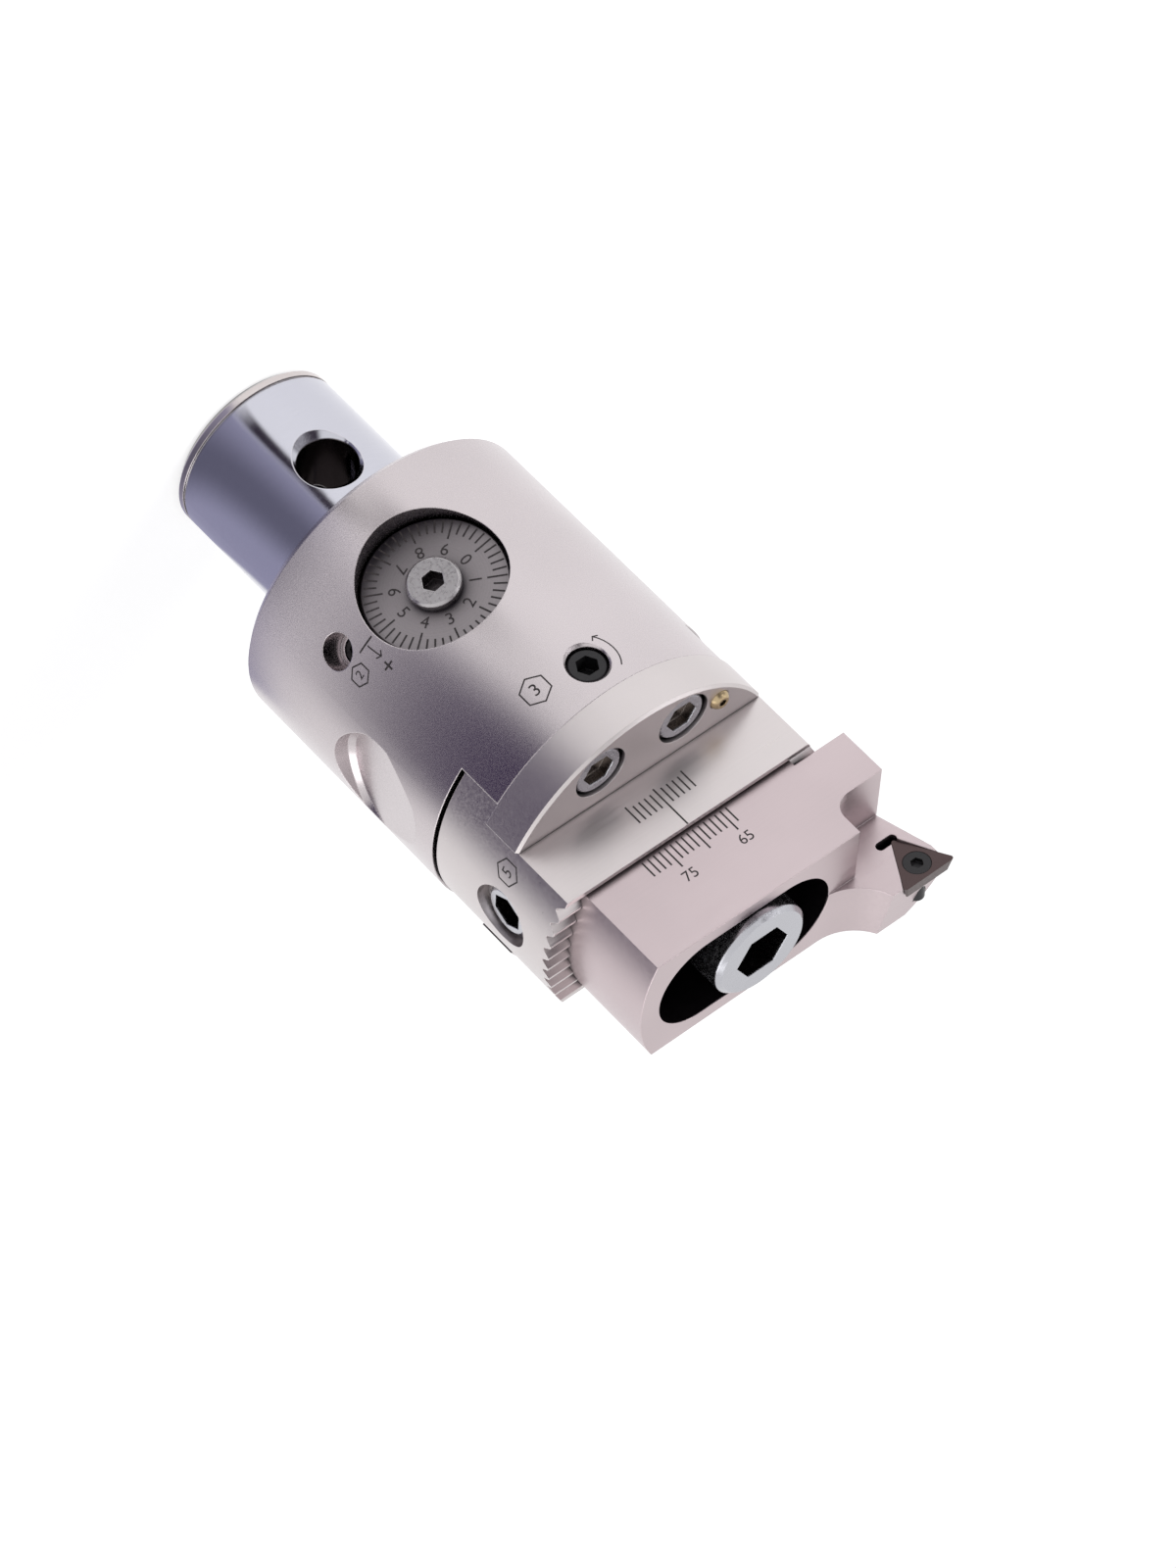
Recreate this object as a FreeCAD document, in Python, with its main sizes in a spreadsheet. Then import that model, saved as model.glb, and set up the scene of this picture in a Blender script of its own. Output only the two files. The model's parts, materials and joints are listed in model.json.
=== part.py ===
"""Fine boring head: a parametric FreeCAD model, in millimetres.

The origin is the centre of the shoulder face, where the shank meets the body. +Z runs along
the spindle axis towards the cutting end. The insert's cutting corner lies on the -X side, and
the graduated dial faces -Y, turned a little towards +X.

A fine screw behind the dial draws a wedge pin along the dial's axis. A slanted slot in the pin
moves the tang of the T-slide along X by a tenth of the pin's travel. The insert holder sits on
the slide's serrations and is shifted along X by hand to set the bore size coarsely.
"""
import FreeCAD, Part
import math
import os
import re
import Sketcher

Vector = FreeCAD.Vector
Rotation = FreeCAD.Rotation
Placement = FreeCAD.Placement

# ---------------------------------------------------------------------------
# Driving sizes, in millimetres and degrees
# ---------------------------------------------------------------------------

SIZES = {
    # shank
    "shank_radius": 14.0,
    "shank_length": 30.3,
    "shank_edge": 0.9,
    "shank_pilot_length": 7.5,
    "shank_bead_length": 1.9,
    "shank_groove_width": 0.5,
    "shank_groove_depth": 0.3,
    "cross_hole_radius": 4.5,
    "cross_hole_offset": 12.5,
    "cross_hole_edge": 0.6,
    "coolant_bore_radius": 3.0,
    # body
    "body_radius": 25.0,
    "body_length": 50.0,
    "body_edge": 1.0,
    "balance_pocket_radius": 9.3,
    "balance_pocket_height": 30.2,
    "balance_pocket_depth": 3.0,
    "balance_pocket_floor_edge": 0.8,
    # fits
    "slide_fit": 0.03,
    "running_fit": 0.05,
    "thread_fit": 0.05,
    "free_gap": 0.3,
    # T-slide
    "flange_overhang": 3.0,
    "flange_thickness": 7.1,
    "flange_slit": 0.6,
    "flange_pad_half_length": 17.0,
    "guide_width": 13.1,
    "block_height": 17.1,
    "slide_end_inset": 0.3,
    "stem_radius": 4.5,
    "fine_travel": 0.4,
    "tang_length": 5.0,
    "tang_width": 5.0,
    "tang_offset": 8.0,
    "tang_depth": 0.7,
    "end_plug_rise": 6.8,
    "end_plug_radius": 4.0,
    "end_plug_length": 8.0,
    "end_plug_recess": 1.2,
    "end_counterbore_radius": 5.0,
    "end_counterbore_depth": 2.2,
    "end_plug_key": 5.0,
    "end_plug_key_depth": 3.2,
    # serrations
    "tooth_count": 9.0,
    "tooth_pitch": 2.5,
    "tooth_depth": 1.2,
    "tooth_flat": 0.35,
    "tooth_gap": 0.05,
    # guide plates and their screws
    "plate_thickness": 6.6,
    "plate_edge": 0.4,
    "plate_screw_x": 7.4,
    "plate_screw_inset": 6.4,
    "plate_screw_radius": 2.5,
    "plate_screw_length": 14.0,
    "plate_head_radius": 4.2,
    "plate_head_height": 2.9,
    "plate_head_edge": 0.5,
    "plate_key": 4.6,
    "plate_key_depth": 1.6,
    "plate_counterbore_depth": 3.3,
    "nozzle_x": 14.0,
    "nozzle_inset": 7.5,
    "nozzle_radius": 1.7,
    "nozzle_sink": 0.55,
    "nozzle_bore_radius": 0.6,
    "nozzle_feed_radius": 1.1,
    "nozzle_feed_length": 5.0,
    # dial and its screw
    "dial_azimuth": 15.8,
    "dial_height": 18.8,
    "dial_mouth_radius": 11.0,
    "dial_sink": 3.5,
    "dial_radius": 10.75,
    "dial_edge": 0.3,
    "dial_floor_gap": 0.3,
    "hub_radius": 4.0,
    "hub_height": 1.5,
    "hub_edge": 0.35,
    "hub_key": 3.0,
    "hub_key_depth": 2.4,
    "spindle_radius": 3.0,
    "collar_radius": 6.2,
    "collar_thickness": 1.6,
    "spindle_thread_radius": 2.45,
    "spindle_thread_length": 16.0,
    "spring_washer_thickness": 0.5,
    "thrust_washer_thickness": 0.5,
    "retainer_radius": 7.5,
    "retainer_thickness": 3.4,
    "retainer_slot": 1.2,
    "seal_thickness": 1.0,
    "dial_depth": 2.5,
    # wedge pin
    "wedge_ratio": 0.1,
    "wedge_radius": 5.5,
    "wedge_end_gap": 1.0,
    "wedge_back_wall": 9.0,
    "wedge_travel": 4.0,
    # lock screw
    "lock_drop": 5.4,
    "lock_radius": 3.0,
    "lock_sink": 0.7,
    "lock_edge": 0.5,
    "lock_screw_length": 6.3,
    "lock_key": 3.0,
    "lock_key_depth": 2.8,
    # brake screw
    "brake_azimuth": 55.3,
    "brake_height": 15.6,
    "brake_mouth_radius": 2.7,
    "brake_mouth_depth": 4.0,
    "brake_radius": 2.0,
    "brake_length": 9.0,
    "brake_key": 2.0,
    "brake_key_depth": 1.6,
    # insert holder
    "holder_half_width": 10.5,
    "holder_rise": 15.0,
    "holder_end": 20.7,
    "holder_end_radius": 24.0,
    "ear_end": 27.5,
    "ear_rise": 8.9,
    "ear_gap": 0.8,
    "ear_step": 18.4,
    "throat_side": 18.1,
    "throat_radius": 3.0,
    "slot_outer_centre": -5.0,
    "slot_inner_centre": 9.2,
    "head_slot_radius": 8.25,
    "shank_slot_radius": 5.3,
    "ledge_rise": 5.2,
    "arm_face": 0.2,
    "arm_nose_radius": 8.6,
    "arm_nose_start": 12.0,
    "arm_nose_clearance": 8.5,
    "arm_relief_radius": 13.8,
    "arm_relief_x": 13.7,
    "arm_relief_y": 1.7,
    "arm_flare": 2.6,
    "arm_flare_rise": 2.6,
    # insert and its screw
    "tip_radius": 31.0,
    "tip_rise": 6.3,
    "insert_edge": 9.6,
    "insert_thickness": 2.38,
    "insert_corner": 0.4,
    "insert_rake": 5.0,
    "insert_clearance": 11.0,
    "insert_seat_gap": 0.05,
    "insert_nose_land": 0.5,
    "insert_hole_radius": 1.4,
    "insert_screw_radius": 1.25,
    "insert_screw_length": 7.0,
    "insert_head_radius": 2.05,
    "insert_head_height": 1.3,
    "insert_key": 1.7,
    "insert_key_depth": 0.8,
    "corner_relief_radius": 0.7,
    "corner_relief_length": 2.2,
    # clamp screw and washer
    "clamp_x": 0.3,
    "clamp_radius": 5.0,
    "clamp_depth": 16.5,
    "clamp_head_radius": 7.95,
    "clamp_head_height": 10.0,
    "clamp_head_edge": 0.7,
    "clamp_key": 8.0,
    "clamp_key_depth": 5.2,
    "washer_thickness": 1.5,
    "washer_radius": 7.9,
}

# Widths, radii and heights that follow from them
FOLLOWING = {
    "block_half_width": "body_radius - guide_width",
    "flange_half_width": "block_half_width + flange_overhang",
    "slide_end_radius": "body_radius - slide_end_inset",
    "plate_screw_y": "body_radius - plate_screw_inset",
    "nozzle_y": "body_radius - nozzle_inset",
    "dial_face": "body_radius - dial_sink",
    "dial_wall": "dial_face - dial_depth",
    "collar_high": "dial_wall - retainer_thickness - spring_washer_thickness",
    "collar_low": "collar_high - collar_thickness",
    "wedge_start": "wedge_back_wall - body_radius",
    "wedge_end": "collar_low - wedge_end_gap - wedge_travel",
    "lock_height": "body_length - lock_drop",
    "end_plug_height": "body_length + end_plug_rise",
    "block_top": "body_length + block_height",
    "holder_face": "block_top + holder_rise",
    "ear_face": "block_top + ear_rise",
    "ear_underside": "block_top + ear_gap",
    "slot_ledge": "block_top + ledge_rise",
    "arm_flare_top": "holder_face + arm_flare_rise",
    "tip_height": "holder_face + tip_rise",
}

doc = FreeCAD.newDocument("boring_head")
sheet = doc.addObject("Spreadsheet::Sheet", "Sizes")
rows = [*SIZES.items(), *((alias, "=" + rule) for alias, rule in FOLLOWING.items())]
for row, (alias, value) in enumerate(rows, start=1):
    sheet.set(f"A{row}", alias.replace("_", " "))
    sheet.set(f"B{row}", str(value))
    sheet.setAlias(f"B{row}", alias)
doc.recompute()

# ---------------------------------------------------------------------------
# Helpers: expressions, primitives, booleans, sketches
# ---------------------------------------------------------------------------


def bound(text):
    """The text of an expression, with each size read from the sheet."""
    return re.sub(r"[a-z_]+", lambda word: prefixed(word.group()), text)


def prefixed(word):
    return "Sizes." + word if word in SIZES or word in FOLLOWING else word


def amount(text):
    """The present value of an expression."""
    return float(sheet.evalExpression(bound(text)))


def tie(thing, prop, text):
    thing.setExpression(prop, bound(text))


def place(thing, x="0", y="0", z="0", turn="0; 0; 0"):
    """Tie a placement: turn is yaw; pitch; roll in degrees."""
    tie(thing, "Placement", f"placement(vector({x}; {y}; {z}); rotation({turn}))")
    return thing


def on_dial_axis(thing):
    """Local +Z becomes the dial's outward axis and local +Y the spindle axis."""
    return place(thing, z="dial_height", turn="dial_azimuth; 0; 90")


def cylinder(name, radius, low, high, x="0", y="0"):
    shape = doc.addObject("Part::Cylinder", name)
    tie(shape, "Radius", radius)
    tie(shape, "Height", f"({high}) - ({low})")
    return place(shape, x, y, low)


def cone(name, low_radius, high_radius, low, high, x="0", y="0"):
    shape = doc.addObject("Part::Cone", name)
    tie(shape, "Radius1", low_radius)
    tie(shape, "Radius2", high_radius)
    tie(shape, "Height", f"({high}) - ({low})")
    return place(shape, x, y, low)


def hexagon(name, across, low, high, x="0", y="0"):
    shape = doc.addObject("Part::Prism", name)
    shape.Polygon = 6
    tie(shape, "Circumradius", f"({across}) / sqrt(3)")
    tie(shape, "Height", f"({high}) - ({low})")
    return place(shape, x, y, low)


def box(name, x_low, x_high, y_low, y_high, z_low, z_high):
    shape = doc.addObject("Part::Box", name)
    tie(shape, "Length", f"({x_high}) - ({x_low})")
    tie(shape, "Width", f"({y_high}) - ({y_low})")
    tie(shape, "Height", f"({z_high}) - ({z_low})")
    return place(shape, x_low, y_low, z_low)


def carried(name, shape, x="0", y="0", z="0", turn="0; 0; 0"):
    """The same shape carried to another place."""
    carrier = doc.addObject("Part::Compound", name)
    carrier.Links = [shape]
    return place(carrier, x, y, z, turn)


def fuse(name, *shapes):
    result = doc.addObject("Part::MultiFuse", name)
    result.Shapes = list(shapes)
    return result


def common(name, *shapes):
    result = doc.addObject("Part::MultiCommon", name)
    result.Shapes = list(shapes)
    return result


def cut(name, base, *tools):
    result = doc.addObject("Part::Cut", name)
    result.Base = base
    result.Tool = tools[0] if len(tools) == 1 else fuse(name + "_tools", *tools)
    return result


def slot_prism(name, radius, x_low, x_high, low, high, y="0"):
    """An obround prism along X, between two centres."""
    ends = [cylinder(f"{name}_{side}", radius, low, high, x=x, y=y)
            for side, x in (("low", x_low), ("high", x_high))]
    middle = box(name + "_middle", x_low, x_high, f"{y} - ({radius})", f"{y} + {radius}",
                 low, high)
    return fuse(name, *ends, middle)


def outline(body, plane, name, corners):
    """A closed sketch of straight sides whose corners are tied to expressions."""
    planes = {feature.Role: feature for feature in body.Origin.OriginFeatures}
    sketch = body.newObject("Sketcher::SketchObject", name)
    sketch.AttachmentSupport = [(planes[plane], "")]
    sketch.MapMode = "FlatFace"
    points = [Vector(amount(across), amount(along), 0) for across, along in corners]
    for index, point in enumerate(points):
        sketch.addGeometry(Part.LineSegment(point, points[(index + 1) % len(points)]), False)
    for index in range(len(points)):
        following = (index + 1) % len(points)
        sketch.addConstraint(Sketcher.Constraint("Coincident", index, 2, following, 1))
    for index, (across, along) in enumerate(corners):
        pin_corner(sketch, index, "DistanceX", -2, across)
        pin_corner(sketch, index, "DistanceY", -1, along)
    return sketch


def pin_corner(sketch, index, kind, axis, text):
    """Hold one coordinate of a sketch corner, on the axis itself where it is zero."""
    if text == "0":
        sketch.addConstraint(Sketcher.Constraint("PointOnObject", index, 1, axis))
        return
    held = sketch.addConstraint(Sketcher.Constraint(kind, -1, 1, index, 1, amount(text)))
    tie(sketch, f"Constraints[{held}]", text)


def turned(name, corners):
    """A body turned about Z from corners given as radius and height."""
    body = doc.addObject("PartDesign::Body", name)
    sketch = outline(body, "XZ_Plane", name + "_profile", corners)
    turning = body.newObject("PartDesign::Revolution", name + "_turning")
    turning.Profile = sketch
    turning.ReferenceAxis = (sketch, ["V_Axis"])
    turning.Angle = 360
    turning.Refine = False
    body.Tip = turning
    return body


def extruded(name, plane, corners, length):
    """A body padded evenly to both sides of an origin plane."""
    body = doc.addObject("PartDesign::Body", name)
    pad = body.newObject("PartDesign::Pad", name + "_pad")
    pad.Profile = outline(body, plane, name + "_profile", corners)
    pad.SideType = "Symmetric"
    tie(pad, "Length", length)
    body.Tip = pad
    return body


def grooved(body, corners, count):
    """Cut a V groove along X into a body and repeat it along Y."""
    planes = {feature.Role: feature for feature in body.Origin.OriginFeatures}
    groove = body.newObject("PartDesign::Pocket", body.Name + "_groove")
    groove.Profile = outline(body, "YZ_Plane", body.Name + "_groove_profile", corners)
    groove.SideType = "Symmetric"
    groove.Type = "Length"
    tie(groove, "Length", "4 * body_radius")
    doc.recompute()
    pattern = body.newObject("PartDesign::LinearPattern", body.Name + "_grooves")
    pattern.Originals = [groove]
    pattern.Direction = (planes["Y_Axis"], [""])
    pattern.Mode = "Spacing"
    tie(pattern, "Offset", "tooth_pitch")
    tie(pattern, "Occurrences", count)
    body.Tip = pattern


def rounded(name, base, radius, x, z):
    """Fillet the straight edges of a shape that run along Y at the place given."""
    doc.recompute()
    size = amount(radius)
    result = doc.addObject("Part::Fillet", name)
    result.Base = base
    result.Edges = [(index, size, size)
                    for index, edge in enumerate(base.Shape.Edges, start=1)
                    if runs_through(edge, amount(x), amount(z))]
    return result


def runs_through(edge, x, z):
    return all(math.hypot(vertex.X - x, vertex.Z - z) < 1e-4 for vertex in edge.Vertexes)


nodes = []


def node(label, thing):
    """Give a finished sub-part the name that its file gets."""
    thing.Label = label
    nodes.append(thing)
    return thing


# ---------------------------------------------------------------------------
# Places that several parts share
# ---------------------------------------------------------------------------

FLANGE_LOW = "body_length - flange_thickness + slide_fit"
FLANGE_HIGH = "body_length - slide_fit"
PLATE_TOP = "body_length + plate_thickness"
VALLEY = "block_top - tooth_depth"
THRUST_LOW = "collar_low - thrust_washer_thickness"
LOCK_SEAT = "flange_half_width + slide_fit"
LOCK_HEAD = "body_radius - lock_sink"
CLAMP_SEAT = "slot_ledge + washer_thickness"
TANG_X = "-tang_offset * sin(dial_azimuth)"
TANG_Y = "tang_offset * cos(dial_azimuth)"
WEDGE_SLOPE = "wedge_ratio * cos(dial_azimuth) / (1 - wedge_ratio * sin(dial_azimuth))"
WEDGE_ANGLE = f"atan({WEDGE_SLOPE}) / 1 deg"
TANG_TIP = "dial_height + tang_depth"

# ---------------------------------------------------------------------------
# Head body: shank, body, channel and bores
# ---------------------------------------------------------------------------


def head_body():
    blank = turned("blank", [
        ("0", "-shank_length"),
        ("shank_radius - shank_edge", "-shank_length"),
        ("shank_radius", "-shank_length + shank_edge"),
        ("shank_radius", "-shank_length + shank_bead_length"),
        ("shank_radius - shank_groove_depth", "-shank_length + shank_bead_length"),
        ("shank_radius - shank_groove_depth",
         "-shank_length + shank_bead_length + shank_groove_width"),
        ("shank_radius", "-shank_length + shank_bead_length + shank_groove_width"),
        ("shank_radius", "-shank_pilot_length"),
        ("shank_radius", "0"),
        ("body_radius - body_edge", "0"),
        ("body_radius", "body_edge"),
        ("body_radius", "body_length"),
        ("0", "body_length"),
    ])
    shape = cut("head_body", blank, cross_hole(), coolant_bore(), balance_pocket(),
                slide_channel(), dial_bores(), stem_bore(), lock_bore(), brake_bore(),
                *plate_screw_bores())
    # the shank's wall stays in two faces: the pilot above the cross hole, and the rest
    shape.Refine = False
    return node("head_body", shape)


def cross_hole():
    """The radial hole through the shank, broken at both mouths."""
    bore = cylinder("cross_bore", "cross_hole_radius", "-shank_radius - 1", "shank_radius + 1")
    mouth_radius = "cross_hole_radius + 2 * cross_hole_edge"
    mouths = [
        cone("cross_mouth_out", "cross_hole_radius", mouth_radius,
             "shank_radius - 2 * cross_hole_edge", "shank_radius"),
        cone("cross_mouth_in", mouth_radius, "cross_hole_radius",
             "-shank_radius", "-shank_radius + 2 * cross_hole_edge"),
    ]
    return place(fuse("cross_hole", bore, *mouths), z="-cross_hole_offset", turn="0; 0; 90")


def coolant_bore():
    return cylinder("coolant_bore", "coolant_bore_radius", "-shank_length - 1",
                    "-cross_hole_offset")


def balance_pocket():
    """A shallow milled pocket whose floor runs out towards the cutting end."""
    floor_edge = "balance_pocket_floor_edge"
    wall = cylinder("pocket_wall", "balance_pocket_radius", floor_edge, "body_radius")
    floor = cone("pocket_floor", f"balance_pocket_radius - {floor_edge}",
                 "balance_pocket_radius", "0", floor_edge)
    tilt = "atan(balance_pocket_depth / (2 * balance_pocket_radius)) / 1 deg"
    return place(fuse("balance_pocket", wall, floor),
                 x="body_radius - balance_pocket_depth / 2", z="balance_pocket_height",
                 turn=f"0; 90 + {tilt}; 0")


def slide_channel():
    """The channel for the slide's flange, relieved at both ends of its floor."""
    half = "flange_half_width + slide_fit"
    top = "body_length + 1"
    low = "body_length - flange_thickness"
    reach = "body_radius + 1"
    pad = "flange_pad_half_length"
    return fuse(
        "slide_channel",
        box("channel", f"-({reach})", reach, f"-({half})", half, low, top),
        box("channel_end_low", f"-({reach})", f"-{pad}", f"-({half})", half,
            f"{low} - flange_slit", low),
        box("channel_end_high", pad, reach, f"-({half})", half, f"{low} - flange_slit", low),
    )


def dial_bores():
    """The dial's recess and the stepped bore behind it, along the dial's axis."""
    mouth = cylinder("dial_mouth", "dial_mouth_radius", "dial_wall", "body_radius + 1")
    seat = cylinder("retainer_bore", "retainer_radius + thread_fit",
                    "dial_wall - retainer_thickness", "dial_wall")
    collar_space = cylinder("collar_space", "collar_radius + free_gap", THRUST_LOW,
                            "dial_wall - retainer_thickness")
    guide = cylinder("wedge_bore", "wedge_radius + slide_fit",
                     "wedge_start - wedge_travel - free_gap", THRUST_LOW)
    return on_dial_axis(fuse("dial_bores", mouth, seat, collar_space, guide))


def stem_bore():
    radius = "stem_radius + fine_travel + free_gap"
    return cylinder("stem_bore", radius, "dial_height", "body_length - flange_thickness + 1",
                    x=TANG_X, y=TANG_Y)


def lock_bore():
    bore = cylinder("lock_thread", "lock_radius + thread_fit", "flange_half_width",
                    "body_radius + 1")
    mouth = cone("lock_mouth", "lock_radius", "lock_radius + 2 * lock_edge",
                 "body_radius - lock_edge", "body_radius + lock_edge")
    return place(fuse("lock_bore", bore, mouth), z="lock_height", turn="0; 0; 90")


def brake_bore():
    mouth = cylinder("brake_mouth", "brake_mouth_radius", "body_radius - brake_mouth_depth",
                     "body_radius + 1")
    thread = cylinder("brake_thread", "brake_radius + thread_fit", "wedge_radius",
                      "body_radius - brake_mouth_depth")
    return place(fuse("brake_bore", mouth, thread), z="brake_height",
                 turn="brake_azimuth; 0; 90")


def screw_places():
    return [(f"{x_sign} * plate_screw_x", f"{y_sign} * plate_screw_y")
            for y_sign in (-1, 1) for x_sign in (-1, 1)]


def plate_screw_bores():
    low = "body_length + plate_thickness - plate_screw_length - free_gap"
    return [cylinder(f"plate_thread_{index}", "plate_screw_radius + thread_fit", low,
                     "body_length + 1", x=x, y=y)
            for index, (x, y) in enumerate(screw_places(), start=1)]


# ---------------------------------------------------------------------------
# Guide plates, their screws and the coolant nozzle
# ---------------------------------------------------------------------------


def guide_plate(label, side):
    """A segment of the round body that holds the slide's flange down."""
    disc = turned(label + "_disc", [
        ("0", "body_length"),
        ("body_radius", "body_length"),
        ("body_radius", f"{PLATE_TOP} - plate_edge"),
        ("body_radius - plate_edge", PLATE_TOP),
        ("0", PLATE_TOP),
    ])
    inner = "block_half_width + running_fit"
    reach = "body_radius + 1"
    sides = (f"-({reach})", f"-({inner})") if side < 0 else (inner, reach)
    half = box(label + "_half", f"-({reach})", reach, *sides, "body_length - 1",
               f"{PLATE_TOP} + 1")
    segment = common(label + "_segment", disc, half)
    tools = []
    for index, (x, y) in enumerate(screw_places()[:2] if side < 0 else screw_places()[2:]):
        tools.append(cylinder(f"{label}_clear_{index}", "plate_screw_radius + running_fit",
                              "body_length - 1", PLATE_TOP, x=x, y=y))
        tools.append(cylinder(f"{label}_counterbore_{index}", "plate_head_radius + free_gap / 2",
                              f"{PLATE_TOP} - plate_counterbore_depth", f"{PLATE_TOP} + 1",
                              x=x, y=y))
    if side < 0:
        tools.extend(nozzle_socket())
    return node(label, cut(label, segment, *tools))


def ball(name, radius):
    shape = doc.addObject("Part::Sphere", name)
    tie(shape, "Radius", radius)
    return place(shape, "-nozzle_x", "-nozzle_y", f"{PLATE_TOP} - nozzle_sink")


def nozzle_socket():
    socket = ball("nozzle_socket", "nozzle_radius + running_fit")
    feed = cylinder("nozzle_feed", "nozzle_feed_radius", f"{PLATE_TOP} - nozzle_feed_length",
                    f"{PLATE_TOP} - nozzle_sink", x="-nozzle_x", y="-nozzle_y")
    return [socket, feed]


def coolant_nozzle():
    """A ball with a jet bore through it, cut flat in front."""
    centre = f"{PLATE_TOP} - nozzle_sink"
    jet = cylinder("jet", "nozzle_bore_radius", f"{centre} - 2 * nozzle_radius",
                   f"{centre} + 2 * nozzle_radius", x="-nozzle_x", y="-nozzle_y")
    front = cylinder("nozzle_front", "nozzle_radius", f"{centre} + 0.8 * nozzle_radius",
                     f"{centre} + 2 * nozzle_radius", x="-nozzle_x", y="-nozzle_y")
    return node("coolant_nozzle", cut("coolant_nozzle", ball("nozzle_ball", "nozzle_radius"),
                                      jet, front))


def plate_screw(index, x, y):
    """A low-head cap screw with a wide shallow key socket."""
    seat = f"{PLATE_TOP} - plate_counterbore_depth"
    top = f"{seat} + plate_head_height"
    name = f"plate_screw_{index}"
    blank = turned(name + "_blank", [
        ("0", f"{PLATE_TOP} - plate_screw_length"),
        ("plate_screw_radius", f"{PLATE_TOP} - plate_screw_length"),
        ("plate_screw_radius", seat),
        ("plate_head_radius", seat),
        ("plate_head_radius", f"{top} - plate_head_edge"),
        ("plate_head_radius - plate_head_edge", top),
        ("0", top),
    ])
    key = hexagon(name + "_key", "plate_key", f"{top} - plate_key_depth", f"{top} + 1")
    return node(name, place(cut(name, blank, key), x, y))


# ---------------------------------------------------------------------------
# Dial, spindle and wedge pin, built with local +Z along the dial's axis
# ---------------------------------------------------------------------------


def graduated_dial():
    shape = turned("graduated_dial", [
        ("spindle_radius + running_fit", "dial_wall + dial_floor_gap"),
        ("dial_radius - seal_thickness / 2", "dial_wall + dial_floor_gap"),
        ("dial_radius - seal_thickness / 2", "dial_wall + dial_floor_gap + seal_thickness"),
        ("dial_radius", "dial_wall + dial_floor_gap + seal_thickness"),
        ("dial_radius", "dial_face - dial_edge"),
        ("dial_radius - dial_edge", "dial_face"),
        ("spindle_radius + running_fit", "dial_face"),
    ])
    return node("graduated_dial", on_dial_axis(shape))


def dial_seal():
    """A square-section ring under the dial's rim."""
    low = "dial_wall + dial_floor_gap + running_fit"
    high = "dial_wall + dial_floor_gap + seal_thickness - running_fit"
    shape = turned("dial_seal", [
        ("dial_radius - seal_thickness / 2 + running_fit", low),
        ("dial_mouth_radius - running_fit", low),
        ("dial_mouth_radius - running_fit", high),
        ("dial_radius - seal_thickness / 2 + running_fit", high),
    ])
    return node("dial_seal", on_dial_axis(shape))


def adjusting_spindle():
    """The fine screw: hub on the dial, journal, thrust collar and thread."""
    hub_top = "dial_face + hub_height"
    blank = turned("spindle_blank", [
        ("0", "collar_low - spindle_thread_length"),
        ("spindle_thread_radius", "collar_low - spindle_thread_length"),
        ("spindle_thread_radius", "collar_low"),
        ("collar_radius", "collar_low"),
        ("collar_radius", "collar_high"),
        ("spindle_radius", "collar_high"),
        ("spindle_radius", "dial_face"),
        ("hub_radius", "dial_face"),
        ("hub_radius", f"{hub_top} - hub_edge"),
        ("hub_radius - hub_edge", hub_top),
        ("0", hub_top),
    ])
    key = hexagon("spindle_key", "hub_key", f"{hub_top} - hub_key_depth", f"{hub_top} + 1")
    return node("adjusting_spindle", on_dial_axis(cut("adjusting_spindle", blank, key)))


def ring(label, inner, outer, low, high):
    shape = turned(label, [(inner, low), (outer, low), (outer, high), (inner, high)])
    return node(label, on_dial_axis(shape))


def spindle_retainer():
    """The threaded ring that holds the collar, with two spanner slots in its face."""
    low = "dial_wall - retainer_thickness"
    blank = turned("retainer_blank", [
        ("spindle_radius + running_fit", low),
        ("retainer_radius", low),
        ("retainer_radius", "dial_wall"),
        ("spindle_radius + running_fit", "dial_wall"),
    ])
    slot = box("spanner_slot", "-retainer_radius - 1", "retainer_radius + 1",
               "-retainer_slot / 2", "retainer_slot / 2", "dial_wall - retainer_slot",
               "dial_wall + 1")
    return node("spindle_retainer", on_dial_axis(cut("spindle_retainer", blank, slot)))


def tang_bar(name, side_gap, end_gap, low, high):
    """A bar along the slanted slot, grown by the gaps given."""
    half_width = f"(tang_width / 2 + {side_gap})"
    half_length = f"(tang_length / 2 + {end_gap})"
    bar = box(name + "_bar", f"-{half_width}", half_width, f"-{half_length}", half_length,
              low, high)
    return carried(name, bar, TANG_X, TANG_Y, turn=f"dial_azimuth - {WEDGE_ANGLE}; 0; 0")


def wedge_pin():
    """A round pin with a thread at its outer end and a slanted slot at its inner end."""
    blank = cylinder("wedge_blank", "wedge_radius", "wedge_start", "wedge_end")
    thread = cylinder("wedge_thread", "spindle_thread_radius + thread_fit",
                      "wedge_end - spindle_thread_length - free_gap", "wedge_end + 1")
    drilled = on_dial_axis(cut("wedge_drilled", blank, thread))
    slot = tang_bar("wedge_slot", "slide_fit", "wedge_travel + running_fit",
                    f"{TANG_TIP} - free_gap", "dial_height + 2 * wedge_radius")
    return node("wedge_pin", cut("wedge_pin", drilled, slot))


# ---------------------------------------------------------------------------
# T-slide and its end plug
# ---------------------------------------------------------------------------


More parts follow.
